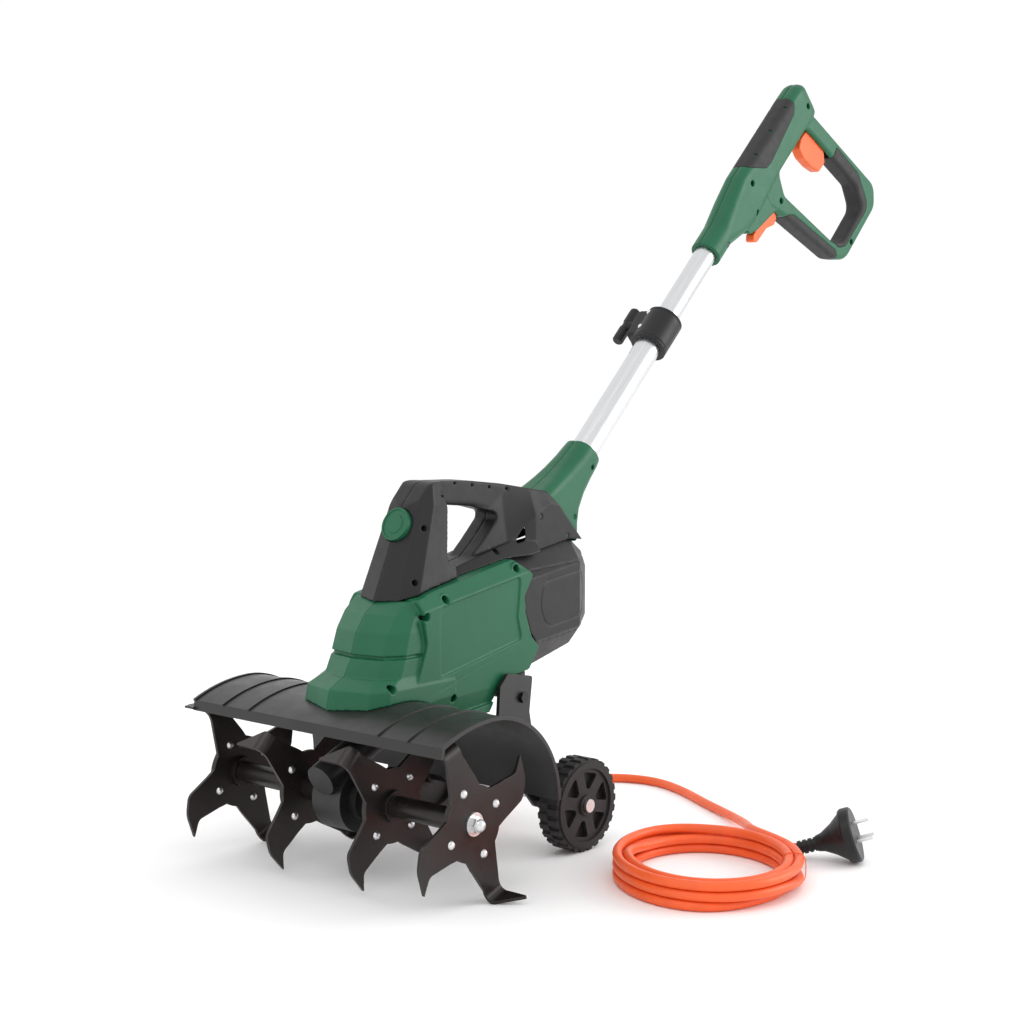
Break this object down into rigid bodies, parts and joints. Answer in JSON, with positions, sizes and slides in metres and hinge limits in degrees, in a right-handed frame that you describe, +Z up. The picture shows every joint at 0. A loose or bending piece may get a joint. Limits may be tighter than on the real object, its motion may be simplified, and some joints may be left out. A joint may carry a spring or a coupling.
{
  "type": "electric garden tiller",
  "caption": "Upright electric garden tiller: moulded motor housing over guarded hooked tines, transport wheels, telescopic pole with a D-shaped handle, coiled mains cord and plug.",
  "frame": {"origin": "on the ground under the middle of the machine's bounding box, cord left out", "axes": "+X along the tine axle to the operator's right, +Y back towards the operator and the handle, +Z up"},
  "size_m": [0.7084, 1.2894, 1.0473],
  "materials": {
    "green_plastic": "satin moulded plastic, dark green",
    "dark_plastic": "fine matt moulded plastic, dark grey",
    "black_plastic": "matt black plastic",
    "soft_grip": "soft moulded grip, dark grey",
    "orange_plastic": "satin orange plastic",
    "cord_sheath": "satin orange cable sheath",
    "tube_metal": "bright anodised",
    "black_steel": "satin black powder coat",
    "bright_steel": "zinc plated",
    "black_bolt": "blackened steel",
    "cast_case": "die cast, painted black",
    "bronze": "bronze gear",
    "copper_iron": "laminated iron with copper windings",
    "carbon": "carbon brush",
    "wheel_plastic": "matt black moulded wheel"
  },
  "bodies": {
    "chassis": {"body_shell_left": "green_plastic", "body_shell_right": "green_plastic", "upper_housing_left": "dark_plastic", "upper_housing_right": "dark_plastic", "motor_cover_left": "dark_plastic", "motor_cover_right": "dark_plastic", "boot_left": "green_plastic", "boot_right": "green_plastic", "badge_cap": "green_plastic", "lower_tube": "tube_metal", "guide_bush": "black_plastic", "pole_clamp": "black_plastic", "clamp_screws": "bright_steel", "tine_guard": "black_steel", "gear_case_left": "cast_case", "gear_case_right": "cast_case", "drive_bearings": "bright_steel", "axle_seals": "soft_grip", "stator": "copper_iron", "motor_end_bracket": "cast_case", "brushes": "carbon", "wheel_bracket": "black_steel", "wheel_pivot_pin": "bright_steel", "housing_screws": "black_bolt", "cord_gland": "black_plastic", "cord_run": "cord_sheath", "cord_coil": "cord_sheath", "cord_tail": "cord_sheath", "plug_body": "black_plastic", "plug_pins": "bright_steel"},
    "motor_rotor": {"motor_shaft": "bright_steel", "armature": "copper_iron", "cooling_fan": "black_plastic"},
    "tine_rotor": {"tine_shaft": "bright_steel", "worm_wheel": "bronze", "tine_hubs": "black_steel", "tine_outer_left": "black_steel", "tine_inner_left": "black_steel", "tine_inner_right": "black_steel", "tine_outer_right": "black_steel", "tine_bolts": "bright_steel", "axle_end_nuts": "bright_steel"},
    "wheel_frame": {"wheel_arms": "black_steel", "wheel_axle": "bright_steel", "axle_spacers": "black_plastic", "hub_caps": "bright_steel"},
    "left_wheel": {"wheel_left": "wheel_plastic"},
    "right_wheel": {"wheel_right": "wheel_plastic"},
    "upper_pole": {"upper_tube": "tube_metal", "handle_shell_left": "green_plastic", "handle_shell_right": "green_plastic", "grip_pad": "soft_grip", "loop_pads": "soft_grip", "switch": "black_plastic", "trigger_pins": "bright_steel", "return_springs": "bright_steel", "handle_screws": "black_bolt"},
    "trigger": {"trigger": "orange_plastic"},
    "lock_lever": {"lock_lever": "orange_plastic"},
    "clamp_knob": {"clamp_knob": "black_plastic"}
  },
  "joints": [
    {"name": "tine_spin", "type": "hinge", "parent": "chassis", "child": "tine_rotor", "pos_m": [0, -0.555, 0.1], "axis": [1, 0, 0], "continuous": true},
    {"name": "motor_spin", "type": "hinge", "parent": "chassis", "child": "motor_rotor", "pos_m": [0, -0.5733, 0.14111], "axis": [0, 0.9135, 0.4067], "continuous": true},
    {"name": "wheel_swing", "type": "hinge", "parent": "chassis", "child": "wheel_frame", "pos_m": [0, -0.319, 0.197], "axis": [1, 0, 0], "range_deg": [0, 40]},
    {"name": "left_wheel_spin", "type": "hinge", "parent": "wheel_frame", "child": "left_wheel", "pos_m": [-0.1345, -0.28, 0.0605], "axis": [1, 0, 0], "continuous": true},
    {"name": "right_wheel_spin", "type": "hinge", "parent": "wheel_frame", "child": "right_wheel", "pos_m": [0.1345, -0.28, 0.0605], "axis": [1, 0, 0], "continuous": true},
    {"name": "pole_slide", "type": "slide", "parent": "chassis", "child": "upper_pole", "axis": [0, 0.7181, 0.6959], "range_m": [-0.105, 0.105]},
    {"name": "clamp_knob_turn", "type": "hinge", "parent": "chassis", "child": "clamp_knob", "pos_m": [-0.05, 0.0741, 0.67159], "axis": [1, 0, 0], "range_deg": [0, 270]},
    {"name": "trigger_squeeze", "type": "hinge", "parent": "upper_pole", "child": "trigger", "pos_m": [0, 0.45516, 0.97959], "axis": [1, 0, 0], "range_deg": [0, 8], "stiffness_Nm_per_rad": 0.8, "springref_deg": -2.86},
    {"name": "lock_lever_squeeze", "type": "hinge", "parent": "upper_pole", "child": "lock_lever", "pos_m": [0, 0.33865, 0.85554], "axis": [-1, 0, 0], "range_deg": [0, 10], "stiffness_Nm_per_rad": 0.8, "springref_deg": -2.86}
  ],
  "couplings": [
    {"joint": "motor_spin", "follows": "tine_spin", "ratio": 40}
  ]
}
